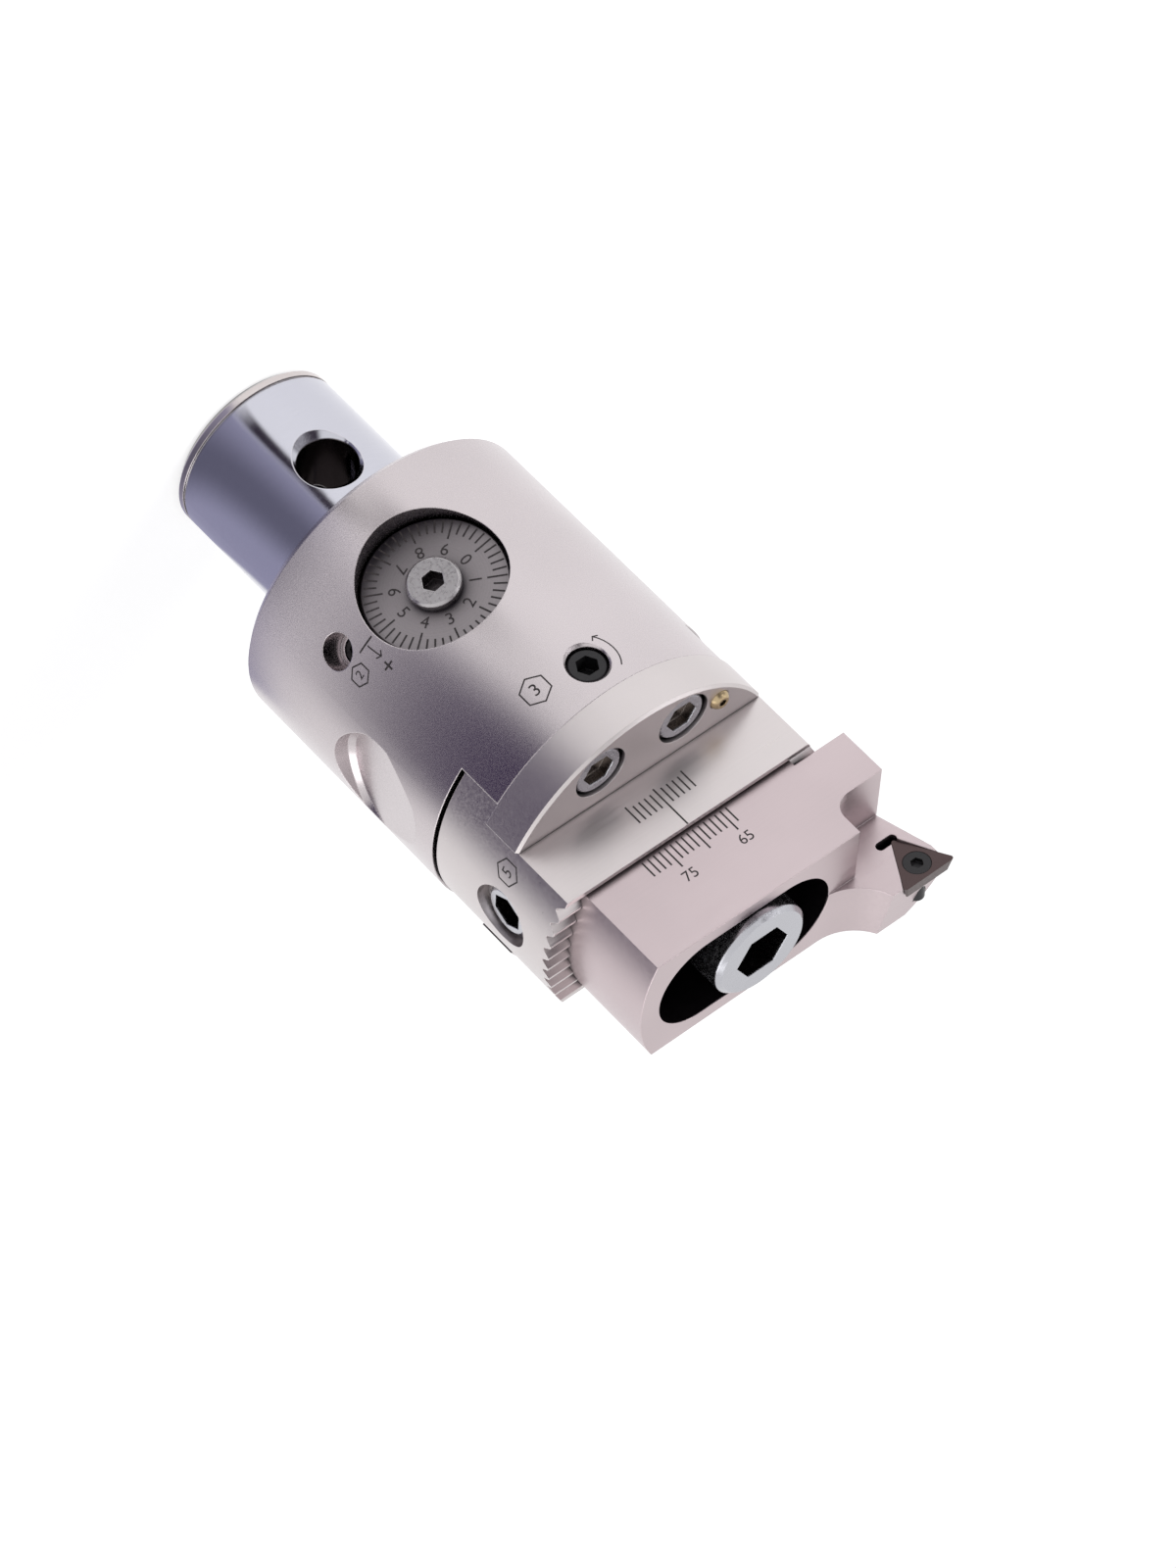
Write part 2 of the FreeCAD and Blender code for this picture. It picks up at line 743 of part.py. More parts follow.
def t_slide():
    """Flange, serrated block, stem and tang in one piece."""
    section = extruded("slide_section", "YZ_Plane", [
        ("-flange_half_width", FLANGE_LOW),
        ("flange_half_width", FLANGE_LOW),
        ("flange_half_width", FLANGE_HIGH),
        ("block_half_width", FLANGE_HIGH),
        ("block_half_width", "block_top"),
        ("-block_half_width", "block_top"),
        ("-block_half_width", FLANGE_HIGH),
        ("-flange_half_width", FLANGE_HIGH),
    ], "3 * slide_end_radius")
    first = "-tooth_pitch * (tooth_count - 1) / 2"
    half_top = "(tooth_pitch - tooth_flat) / 2"
    grooved(section, [
        (f"{first} - tooth_flat / 2", VALLEY),
        (f"{first} + tooth_flat / 2", VALLEY),
        (f"{first} + {half_top}", "block_top"),
        (f"{first} + {half_top}", "block_top + 1"),
        (f"{first} - {half_top}", "block_top + 1"),
        (f"{first} - {half_top}", "block_top"),
    ], "tooth_count")
    ends = cylinder("slide_ends", "slide_end_radius", "body_length / 2", "block_top + 1")
    bar = common("slide_bar", section, ends)
    stem_low = "dial_height + wedge_radius + free_gap"
    stem = cylinder("stem", "stem_radius", stem_low, f"{FLANGE_LOW} + 1", x=TANG_X, y=TANG_Y)
    tang = tang_bar("tang", "0", "0", TANG_TIP, f"{stem_low} + 1")
    thread = cylinder("clamp_thread", "clamp_radius + thread_fit",
                      f"{CLAMP_SEAT} - clamp_depth - 1", "block_top + 1", x="clamp_x")
    shape = cut("t_slide", fuse("slide_solid", bar, stem, tang), thread, end_bore())
    return node("t_slide", shape)


def end_bore():
    """The plug's bore and counterbore, along X from the slide's +X end."""
    bottom = "slide_end_radius - end_plug_recess - end_plug_length - free_gap"
    bore = cylinder("end_thread", "end_plug_radius + thread_fit", bottom, "body_radius + 1")
    counterbore = cylinder("end_counterbore", "end_counterbore_radius",
                           "slide_end_radius - end_counterbore_depth", "body_radius + 1")
    return place(fuse("end_bore", bore, counterbore), z="end_plug_height", turn="90; 0; 90")


def socket_screw(name, radius, low, high, key, key_depth):
    """A headless screw with broken edges and a key socket in its outer face."""
    edge = f"({radius}) / 8"
    blank = turned(name + "_blank", [
        ("0", low),
        (f"{radius} - {edge}", low),
        (radius, f"{low} + {edge}"),
        (radius, f"{high} - {edge}"),
        (f"{radius} - {edge}", high),
        ("0", high),
    ])
    socket = hexagon(name + "_key", key, f"{high} - {key_depth}", f"{high} + 1")
    return cut(name, blank, socket)


def end_plug():
    high = "slide_end_radius - end_plug_recess"
    shape = socket_screw("end_plug", "end_plug_radius", f"{high} - end_plug_length", high,
                         "end_plug_key", "end_plug_key_depth")
    return node("end_plug", place(shape, z="end_plug_height", turn="90; 0; 90"))


# ---------------------------------------------------------------------------
# Lock screw, its pad and the brake screw
# ---------------------------------------------------------------------------


def lock_pad():
    """The soft plug between the lock screw and the slide's flange."""
    high = f"{LOCK_HEAD} - lock_screw_length"
    shape = turned("lock_pad", [
        ("0", LOCK_SEAT),
        ("lock_radius", LOCK_SEAT),
        ("lock_radius", high),
        ("0", high),
    ])
    return node("lock_pad", place(shape, z="lock_height", turn="0; 0; 90"))


def lock_screw():
    shape = socket_screw("lock_screw", "lock_radius", f"{LOCK_HEAD} - lock_screw_length",
                         LOCK_HEAD, "lock_key", "lock_key_depth")
    return node("lock_screw", place(shape, z="lock_height", turn="0; 0; 90"))


def brake_screw():
    high = "body_radius - brake_mouth_depth"
    shape = socket_screw("brake_screw", "brake_radius", f"{high} - brake_length", high,
                         "brake_key", "brake_key_depth")
    return node("brake_screw", place(shape, z="brake_height", turn="brake_azimuth; 0; 90"))


# ---------------------------------------------------------------------------
# Insert holder, clamp screw and washer
# ---------------------------------------------------------------------------


def insert_holder():
    """The serrated bar with its clamp slot, overhanging ear and insert arm."""
    low = f"{VALLEY} + tooth_gap"
    bar = extruded("holder_section", "XZ_Plane", [
        ("holder_end + 1", low),
        ("holder_end + 1", "holder_face"),
        ("-throat_side", "holder_face"),
        ("-throat_side", "ear_face"),
        ("-ear_end", "ear_face"),
        ("-ear_end", "ear_underside"),
        ("-ear_step", "ear_underside"),
        ("-ear_step", low),
    ], "2 * holder_half_width")
    first = "-tooth_pitch * tooth_count / 2"
    half_low = "(tooth_pitch - tooth_flat) / 2"
    high = "block_top + tooth_gap"
    grooved(bar, [
        (f"{first} - {half_low}", f"{low} - 1"),
        (f"{first} + {half_low}", f"{low} - 1"),
        (f"{first} + {half_low}", low),
        (f"{first} + tooth_flat / 2", high),
        (f"{first} - tooth_flat / 2", high),
        (f"{first} - {half_low}", low),
    ], "tooth_count + 1")
    throat = rounded("holder_throat", bar, "throat_radius", "-throat_side", "ear_face")
    end = fuse(
        "holder_ends",
        cylinder("holder_end_round", "holder_end_radius", "body_length", "tip_height + 1",
                 x="holder_end - holder_end_radius"),
        box("holder_end_rest", "-2 * body_radius", "0", "-body_radius", "body_radius",
            "body_length", "tip_height + 1"),
    )
    solid = fuse("holder_solid", common("holder_bar", throat, end), arm())
    shape = cut("insert_holder", solid, clamp_slot(), insert_pocket(), corner_relief(),
                insert_thread())
    return node("insert_holder", shape)


def arm():
    """The arm behind the insert: concave nose, tilted nose face and relieved outside."""
    nose = "tip_height - insert_nose_land"
    blank = box("arm_blank", "-tip_radius - 1", "-arm_nose_start", "arm_face",
                "holder_half_width", "ear_face - 2", nose)
    relief = place(turned("arm_relief", [
        ("0", "ear_face - 3"),
        ("arm_relief_radius", "ear_face - 3"),
        ("arm_relief_radius", "ear_face"),
        ("arm_relief_radius + arm_flare", "arm_flare_top"),
        ("arm_relief_radius + arm_flare", "tip_height + 1"),
        ("0", "tip_height + 1"),
    ]), "-arm_relief_x", "-arm_relief_y")
    hollow = carried("arm_hollow", cylinder("arm_hollow_round", "arm_nose_radius",
                                            "-body_radius", "body_radius"),
                     x="-arm_nose_start", z="holder_face + arm_nose_radius", turn="0; 0; 90")
    above = carried("arm_above", box("arm_above_box", "-2 * body_radius", "0", "-1",
                                     "body_radius", "0", "body_radius"),
                    y="arm_face", z=nose, turn="0; 0; -arm_nose_clearance")
    return cut("arm", common("arm_turned", blank, relief), hollow, above)


def clamp_slot():
    """The stepped slot: wide for the screw's head, narrow for its shank."""
    upper = slot_prism("head_slot", "head_slot_radius", "slot_outer_centre",
                       "slot_inner_centre", "slot_ledge", "holder_face + 1")
    lower = slot_prism("shank_slot", "shank_slot_radius", "slot_outer_centre",
                       "slot_inner_centre", f"{VALLEY} - 1", "slot_ledge")
    return fuse("clamp_slot", upper, lower)


def clamp_screw():
    top = f"{CLAMP_SEAT} + clamp_head_height"
    blank = turned("clamp_blank", [
        ("0", f"{CLAMP_SEAT} - clamp_depth"),
        ("clamp_radius", f"{CLAMP_SEAT} - clamp_depth"),
        ("clamp_radius", CLAMP_SEAT),
        ("clamp_head_radius", CLAMP_SEAT),
        ("clamp_head_radius", f"{top} - clamp_head_edge"),
        ("clamp_head_radius - clamp_head_edge", top),
        ("0", top),
    ])
    key = hexagon("clamp_key_socket", "clamp_key", f"{top} - clamp_key_depth", f"{top} + 1")
    return node("clamp_screw", place(cut("clamp_screw", blank, key), x="clamp_x"))


def clamp_washer():
    shape = turned("clamp_washer", [
        ("clamp_radius + running_fit", "slot_ledge"),
        ("washer_radius", "slot_ledge"),
        ("washer_radius", CLAMP_SEAT),
        ("clamp_radius + running_fit", CLAMP_SEAT),
    ])
    return node("clamp_washer", place(shape, x="clamp_x"))


# ---------------------------------------------------------------------------
# Cutting insert, its seat and its screw: local +Z is the rake face's normal, local X runs
# along the nose edge and the origin is the middle of that edge
# ---------------------------------------------------------------------------

INSERT_CENTRE = "-insert_edge / (2 * sqrt(3))"


def on_insert(thing):
    """Seat a local shape so that the rounded corner just reaches the tip radius."""
    overhang = "insert_corner * (sqrt(3) - 1)"
    return place(thing, x=f"insert_edge / 2 - tip_radius - {overhang}", z="tip_height",
                 turn="0; 0; 90 + insert_rake")


def unit(direction):
    return Vector(math.cos(math.radians(direction)), math.sin(math.radians(direction)), 0)


def triangle(inradius, corner, height):
    """An equal-sided triangle with rounded corners, one side facing local +Y."""
    centre = Vector(0, amount(INSERT_CENTRE), height)
    arcs = []
    for direction in (270, 30, 150):
        middle = centre + unit(direction) * 2 * (inradius - corner)
        arcs.append([middle + unit(direction + turn) * corner for turn in (-60, 0, 60)])
    edges = []
    for index, arc in enumerate(arcs):
        edges.append(Part.Arc(*arc).toShape())
        edges.append(Part.LineSegment(arc[2], arcs[(index + 1) % len(arcs)][0]).toShape())
    return Part.Wire(edges)


def tapered_triangle(gap, top):
    """The insert's tapered prism, grown sideways by a gap and carried up to a height."""
    inradius = -amount(INSERT_CENTRE) + gap
    corner = amount("insert_corner")
    slope = math.tan(math.radians(amount("insert_clearance")))
    bottom = -amount("insert_thickness")
    high = triangle(inradius + top * slope, corner, top)
    low = triangle(inradius + bottom * slope, corner / 2, bottom)
    return Part.makeLoft([low, high], True, True)


def built(name, shape):
    """A feature whose shape is worked out here from the sheet's values."""
    feature = doc.addObject("Part::Feature", name)
    feature.Shape = shape
    return feature


def cutting_insert():
    blank = built("insert_blank", tapered_triangle(0, 0))
    hole = cylinder("insert_hole", "insert_hole_radius", "-insert_thickness - 1", "1",
                    y=INSERT_CENTRE)
    sink = cone("insert_sink", "insert_hole_radius", "insert_head_radius + running_fit",
                "-insert_head_height", "0", y=INSERT_CENTRE)
    return node("cutting_insert", on_insert(cut("cutting_insert", blank, hole, sink)))


def insert_pocket():
    shape = tapered_triangle(amount("insert_seat_gap"), amount("insert_thickness"))
    return on_insert(built("insert_pocket", shape))


def corner_relief():
    """A milled slot that clears the insert's inner corner."""
    return on_insert(slot_prism(
        "corner_relief", "corner_relief_radius", "0", "corner_relief_length",
        "-insert_thickness", "insert_thickness",
        y="-insert_edge * sqrt(3) / 2 + corner_relief_radius / 2"))


def insert_thread():
    thread = cylinder("insert_thread_bore", "insert_screw_radius + thread_fit",
                      "-insert_screw_length - free_gap", "0", y=INSERT_CENTRE)
    return on_insert(carried("insert_thread", thread))


def insert_screw():
    top = "-running_fit"
    blank = place(turned("insert_screw_blank", [
        ("0", "-insert_screw_length"),
        ("insert_screw_radius", "-insert_screw_length"),
        ("insert_screw_radius", "-insert_head_height"),
        ("insert_head_radius", top),
        ("0", top),
    ]), y=INSERT_CENTRE)
    key = hexagon("insert_screw_key", "insert_key", "-insert_key_depth", "1",
                  y=INSERT_CENTRE)
    return node("insert_screw", on_insert(cut("insert_screw", blank, key)))


# ---------------------------------------------------------------------------
# Build, check and write
# ---------------------------------------------------------------------------

head_body()
guide_plate("guide_plate_dial_side", -1)
guide_plate("guide_plate_far_side", 1)
for screw_index, (screw_x, screw_y) in enumerate(screw_places(), start=1):
    plate_screw(screw_index, screw_x, screw_y)
coolant_nozzle()
brake_screw()
spindle_retainer()
ring("spring_washer", "spindle_radius + running_fit", "collar_radius", "collar_high",
     "dial_wall - retainer_thickness")
ring("thrust_washer", "spindle_thread_radius + running_fit", "collar_radius", THRUST_LOW,
     "collar_low")
adjusting_spindle()
graduated_dial()
dial_seal()
wedge_pin()
t_slide()
end_plug()
lock_pad()
lock_screw()
clamp_washer()
clamp_screw()
insert_holder()
cutting_insert()
insert_screw()

doc.recompute()

broken = [thing.Name for thing in doc.Objects
          if "Invalid" in thing.State or "Error" in thing.State]
broken += [thing.Label for thing in nodes
           if thing.Shape.isNull() or not thing.Shape.isValid() or not thing.Shape.Solids]
if broken:
    raise RuntimeError("these objects failed: " + ", ".join(broken))

os.makedirs("parts", exist_ok=True)
for thing in nodes:
    thing.Shape.exportStep(os.path.join("parts", thing.Label + ".step"))
    print(thing.Label, len(thing.Shape.Solids), round(thing.Shape.Volume, 1))
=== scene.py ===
"""Looks of the boring head: finishes, engraved marks, studio and camera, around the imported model.

Everything is in metres in the part's own frame: +Z along the spindle axis, the dial on the -Y
side and the cutting corner on the -X side. An azimuth is counted round +Z from -Y towards +X.
"""
import json
import math
import bmesh
import bpy
from mathutils import Matrix, Vector

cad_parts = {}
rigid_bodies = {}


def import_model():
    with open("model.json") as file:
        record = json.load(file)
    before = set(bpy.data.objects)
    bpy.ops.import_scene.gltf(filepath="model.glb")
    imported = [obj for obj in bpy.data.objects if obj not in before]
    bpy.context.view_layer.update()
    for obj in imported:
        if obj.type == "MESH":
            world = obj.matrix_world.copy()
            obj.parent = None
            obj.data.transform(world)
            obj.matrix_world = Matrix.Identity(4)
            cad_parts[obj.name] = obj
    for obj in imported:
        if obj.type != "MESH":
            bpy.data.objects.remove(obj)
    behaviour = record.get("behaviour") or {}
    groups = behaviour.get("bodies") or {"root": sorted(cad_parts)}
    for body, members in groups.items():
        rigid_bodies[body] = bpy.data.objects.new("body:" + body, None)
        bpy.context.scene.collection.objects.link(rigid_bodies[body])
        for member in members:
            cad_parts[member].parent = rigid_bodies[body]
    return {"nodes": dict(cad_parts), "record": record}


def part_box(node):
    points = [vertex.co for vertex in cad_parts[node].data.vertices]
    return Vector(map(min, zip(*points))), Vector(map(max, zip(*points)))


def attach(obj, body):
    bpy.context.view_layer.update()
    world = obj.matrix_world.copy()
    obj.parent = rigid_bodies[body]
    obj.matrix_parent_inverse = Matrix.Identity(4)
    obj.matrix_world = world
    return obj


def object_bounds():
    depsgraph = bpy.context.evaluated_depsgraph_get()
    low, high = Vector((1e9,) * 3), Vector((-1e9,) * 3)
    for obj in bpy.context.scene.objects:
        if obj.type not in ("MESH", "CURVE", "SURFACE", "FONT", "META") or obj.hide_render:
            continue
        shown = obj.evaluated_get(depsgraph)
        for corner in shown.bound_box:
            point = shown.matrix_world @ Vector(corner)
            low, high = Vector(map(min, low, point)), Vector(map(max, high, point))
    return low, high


MM = 0.001
UP = Vector((0, 0, 1))
SIDEWAYS = Vector((1, 0, 0))

for unwanted in list(bpy.data.objects):
    bpy.data.objects.remove(unwanted)

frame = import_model()
cad_low, cad_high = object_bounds()
nodes = frame["nodes"]
joints = {joint["name"]: joint for joint in frame["record"]["behaviour"]["joints"]}
mounts = {mount["name"]: mount for mount in frame["record"]["mounts"]}

# ---------------------------------------------------------------------------
# Places read from the frame
# ---------------------------------------------------------------------------


def furthest(node, direction):
    """How far a node reaches along a direction."""
    return max(vertex.co.dot(direction) for vertex in nodes[node].data.vertices)


def direction(azimuth, elevation):
    """The unit vector that points out from the axis at two angles in radians."""
    return Vector((math.sin(azimuth) * math.cos(elevation),
                   -math.cos(azimuth) * math.cos(elevation), math.sin(elevation)))


BODY_LOW, BODY_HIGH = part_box("head_body")
BODY_RADIUS = BODY_HIGH.x
SLIDE_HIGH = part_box("t_slide")[1]
HOLDER_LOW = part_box("insert_holder")[0]
WASHER_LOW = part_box("clamp_washer")[0]
DIAL_AXIS = Vector(joints["dial_turn"]["axis"]).normalized()
DIAL_CENTRE = Vector(joints["dial_turn"]["pos_m"])
DIAL_AZIMUTH = math.atan2(DIAL_AXIS.x, -DIAL_AXIS.y)
DIAL_ACROSS = Vector((math.cos(DIAL_AZIMUTH), math.sin(DIAL_AZIMUTH), 0))
DIAL_FACE = furthest("graduated_dial", DIAL_AXIS)
DIAL_RADIUS = furthest("graduated_dial", UP) - DIAL_CENTRE.z
LOCK_HEIGHT = joints["lock_turn"]["pos_m"][2]
BLOCK_SIDE = Vector((0, -11.9 * MM, 0))
CROSS_HOLE_HEIGHT = mounts["cross_hole"]["pos_m"][2]
CROSS_HOLE_RADIUS = mounts["cross_hole"]["dims"]["r_mm"] * MM

# ---------------------------------------------------------------------------
# Materials
# ---------------------------------------------------------------------------

NICKEL = (0.62, 0.575, 0.575)
SATIN_NICKEL = (0.585, 0.535, 0.548)
POLISHED_NICKEL = (0.56, 0.56, 0.62)
BEAD_NICKEL = (0.62, 0.57, 0.56)
PINKISH = (0.56, 0.475, 0.49)
# the dial's darker satin: partly its own finish, partly painted shade of its recess
SHADED_DIAL_SATIN = (0.36, 0.33, 0.34)
BRIGHT = (0.50, 0.50, 0.535)
HUB = (0.46, 0.44, 0.45)
GROUND = (0.500, 0.495, 0.490)
BLACK = (0.035, 0.034, 0.036)
COATED = (0.085, 0.058, 0.058)
BRASS = (0.52, 0.40, 0.24)
# painted shade in crevices and gaps, where ambient occlusion darkens the metal
CREVICE_SHADE = (0.030, 0.027, 0.032)
# painted shade in key sockets: dark for the screws and spindle, paler in the plate screws
SOCKET_SHADE = (0.075, 0.066, 0.070)
PALE_SOCKET_SHADE = (0.21, 0.185, 0.17)
# painted shade inside the holder's clamp slot
SLOT_SHADE = (0.030, 0.024, 0.028)
# painted shade inside the shank's cross hole
HOLE_SHADE = (0.05, 0.036, 0.032)
BURN_DARK = (0.020, 0.016, 0.017)
BURN_PALE = (0.07, 0.058, 0.06)
RUBBER_DARK = (0.018, 0.018, 0.019)
RUBBER_DUSTY = (0.05, 0.048, 0.046)

# stretches of a noise: the same all ways, in thin rings round Z, and in lines along X
EVEN = (1, 1, 1)
RINGS_ROUND_Z = (1, 1, 40)
LINES_ALONG_X = (0.03, 1, 1)

# spans of a noise's value over which a tone or a roughness changes
NARROW = (0.35, 0.65)
MIDDLE = (0.3, 0.7)
WIDE = (0.25, 0.75)
DUSTY = (0.35, 0.75)

BEVEL_SAMPLES = 6
CREVICE_SAMPLES = 8
EDGE_TURN = (1.0, 0.8)
CREVICE_SPAN = (0.15, 0.75)
SOCKET_DEPTHS = (-0.1 * MM, -0.5 * MM)
BORDER = 0.05 * MM

# how metals vary: tones against the plain colour, and how much of the tone takes over
DULL = 0.94
LIT = 1.08
WORN = 1.25
GRAIN_SHARE = 0.35
WORN_SHARE = 0.7

BEAD_LENGTH = 1.9 * MM
SHOULDER_SPAN = (-0.02 * MM, 0.02 * MM)
HOLE_BORDER = (CROSS_HOLE_RADIUS + 0.02 * MM, CROSS_HOLE_RADIUS + 0.15 * MM)
SLOT_X = (-13.4 * MM, 17.6 * MM)
SLOT_Y = (-8.35 * MM, 8.35 * MM)
SLOT_Z = (WASHER_LOW.z - 0.1 * MM, 81.9 * MM)


class Nodes:
    """A material's node tree with short calls for the nodes used here."""

    def __init__(self, name):
        self.material = bpy.data.materials.new(name)
        self.material.use_nodes = True
        self.tree = self.material.node_tree
        self.shader = self.tree.nodes["Principled BSDF"]
        self.place = self.add("ShaderNodeTexCoord").outputs["Object"]

    def add(self, kind, **settings):
        node = self.tree.nodes.new(kind)
        for key, value in settings.items():
            setattr(node, key, value)
        return node

    def fill(self, target, value):
        """Link an input to another node's output, or give it a plain value."""
        if isinstance(value, bpy.types.NodeSocket):
            self.tree.links.new(value, target)
        else:
            target.default_value = value

    def noise(self, scale, stretch=EVEN, detail=3.0):
        """Noise with features of about 1/scale metres, longer where stretch is below 1."""
        mapping = self.add("ShaderNodeMapping")
        texture = self.add("ShaderNodeTexNoise")
        self.fill(mapping.inputs["Vector"], self.place)
        self.fill(mapping.inputs["Scale"], stretch)
        self.fill(texture.inputs["Vector"], mapping.outputs["Vector"])
        self.fill(texture.inputs["Scale"], scale)
        self.fill(texture.inputs["Detail"], detail)
        return texture.outputs["Fac"]

    def ramp(self, source, span, values=(0.0, 1.0)):
        """One value up to the start of a span, another from its end, and a change between."""
        ranged = self.add("ShaderNodeMapRange")
        self.fill(ranged.inputs["Value"], source)
        for name, value in zip(("From Min", "From Max", "To Min", "To Max"), (*span, *values)):
            self.fill(ranged.inputs[name], value)
        return ranged.outputs["Result"]

    def mix(self, factor, first, second, kind="RGBA"):
        """A blend of two sockets or, for a colour, also of plain colours."""
        blend = self.add("ShaderNodeMix", data_type=kind)
        self.fill(blend.inputs["Factor"], factor)
        for name, value in (("A", first), ("B", second)):
            self.fill(blend.inputs[name], (*value, 1.0) if isinstance(value, tuple) else value)
        return blend.outputs["Result"]

    def times(self, first, second):
        step = self.add("ShaderNodeMath", operation="MULTIPLY")
        self.fill(step.inputs[0], first)
        self.fill(step.inputs[1], second)
        return step.outputs["Value"]

    def vector(self, operation, first, second=None):
        """A vector operation, and its number where it gives one."""
        step = self.add("ShaderNodeVectorMath", operation=operation)
        self.fill(step.inputs[0], first)
        if second is not None:
            self.fill(step.inputs[1], second)
        return step.outputs["Value" if operation in ("DOT_PRODUCT", "LENGTH") else "Vector"]

    def position(self, axis):
        """The place along X, Y or Z."""
        split = self.add("ShaderNodeSeparateXYZ")
        self.fill(split.inputs["Vector"], self.place)
        return split.outputs[axis]

    def beyond(self, point, along):
        """How far the place lies beyond a point in a direction."""
        return self.vector("DOT_PRODUCT", self.vector("SUBTRACT", self.place, point), along)

    def off_axis(self, point, along):
        """Distance from the axis through a point in a direction."""
        away = self.vector("SUBTRACT", self.place, point)
        return self.vector("LENGTH", self.vector("CROSS_PRODUCT", away, along))

    def edges(self, radius):
        """The rounded normal at sharp edges, and how much of an edge each point is."""
        bevel = self.add("ShaderNodeBevel", samples=BEVEL_SAMPLES)
        self.fill(bevel.inputs["Radius"], radius)
        rounded = bevel.outputs["Normal"]
        flat = self.add("ShaderNodeNewGeometry").outputs["Normal"]
        return rounded, self.ramp(self.vector("DOT_PRODUCT", rounded, flat), EDGE_TURN)

    def crevice(self, tone, reach, span=CREVICE_SPAN, facing=None):
        """Paint shade into a tone where neighbouring surfaces crowd it, all round or on one side.
        """
        occlusion = self.add("ShaderNodeAmbientOcclusion", samples=CREVICE_SAMPLES)
        self.fill(occlusion.inputs["Distance"], reach)
        if facing:
            lean = self.add("ShaderNodeCombineXYZ")
            for axis, part in zip("XYZ", facing.normalized()):
                self.fill(lean.inputs[axis], part)
            self.fill(occlusion.inputs["Normal"], lean.outputs["Vector"])
        return self.mix(self.ramp(occlusion.outputs["AO"], span), CREVICE_SHADE, tone)

    def within(self, axis, span):
        """1 between two planes across an axis, 0 outside."""
        low, high = span
        position = self.position(axis)
        return self.times(self.ramp(position, (low - BORDER, low)),
                          self.ramp(position, (high, high + BORDER), (1.0, 0.0)))

    def bump(self, height, distance, normal):
        bump = self.add("ShaderNodeBump")
        self.fill(bump.inputs["Distance"], distance)
        self.fill(bump.inputs["Height"], height)
        self.fill(bump.inputs["Normal"], normal)
        return bump.outputs["Normal"]

    def finish(self, colour, roughness, normal, metallic):
        self.fill(self.shader.inputs["Base Color"], colour)
        self.fill(self.shader.inputs["Roughness"], roughness)
        self.fill(self.shader.inputs["Normal"], normal)
        self.fill(self.shader.inputs["Metallic"], metallic)
        return self.material


def shade(colour, factor):
    return tuple(min(1.0, channel * factor) for channel in colour)


def key_socket(node, outward, radius, point=None):
    """A function that gives 1 inside a screw's key socket, where painted shade darkens it; the
    point lies on its axis.
    """
    low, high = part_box(node)
    point = point or (low + high) / 2
    face = point + outward * (furthest(node, outward) - point.dot(outward))

    def inside(made):
        deep = made.ramp(made.beyond(face, outward), SOCKET_DEPTHS)
        near = made.ramp(made.off_axis(face, outward), (radius, radius + BORDER), (1.0, 0.0))
        return made.times(deep, near)
    return inside


def clamp_slot(made):
    """1 in the holder's slot above the clamp washer, where painted shade darkens the holder."""
    along = made.within("X", SLOT_X)
    across = made.within("Y", SLOT_Y)
    return made.times(made.times(along, across), made.within("Z", SLOT_Z))


def metal(name, colour, roughness, grain=EVEN, grain_scale=1500.0, depth=0.004, spread=0.08,
          metallic=1.0, edge=0.12, reach=1.2, hollow=None, hollow_shade=SOCKET_SHADE):
    """Machined metal: cloudy tone, directional grain, and edges worn brighter.

    The grain's depth, the width of worn edges and the reach of the painted crevice shade are in
    millimetres. A hollow is a function that gives 1 where the hollow's painted shade takes over.
    """
    made = Nodes(name)
    cloud = made.noise(60.0, detail=2.0)
    streaks = made.noise(grain_scale, grain, detail=4.0)
    tone = made.mix(made.ramp(cloud, NARROW), shade(colour, DULL), colour)
    tone = made.mix(made.ramp(streaks, MIDDLE, (0.0, GRAIN_SHARE)), tone, shade(colour, LIT))
    normal, worn = made.edges(edge * MM)
    tone = made.mix(made.times(worn, WORN_SHARE), tone, shade(colour, WORN))
    # painted shade in crevices
    tone = made.crevice(tone, reach * MM)
    if hollow:
        tone = made.mix(hollow(made), tone, hollow_shade)
    rough = made.ramp(streaks, WIDE, (roughness - spread, roughness + spread))
    return made.finish(tone, rough, made.bump(streaks, depth * MM, normal), metallic)


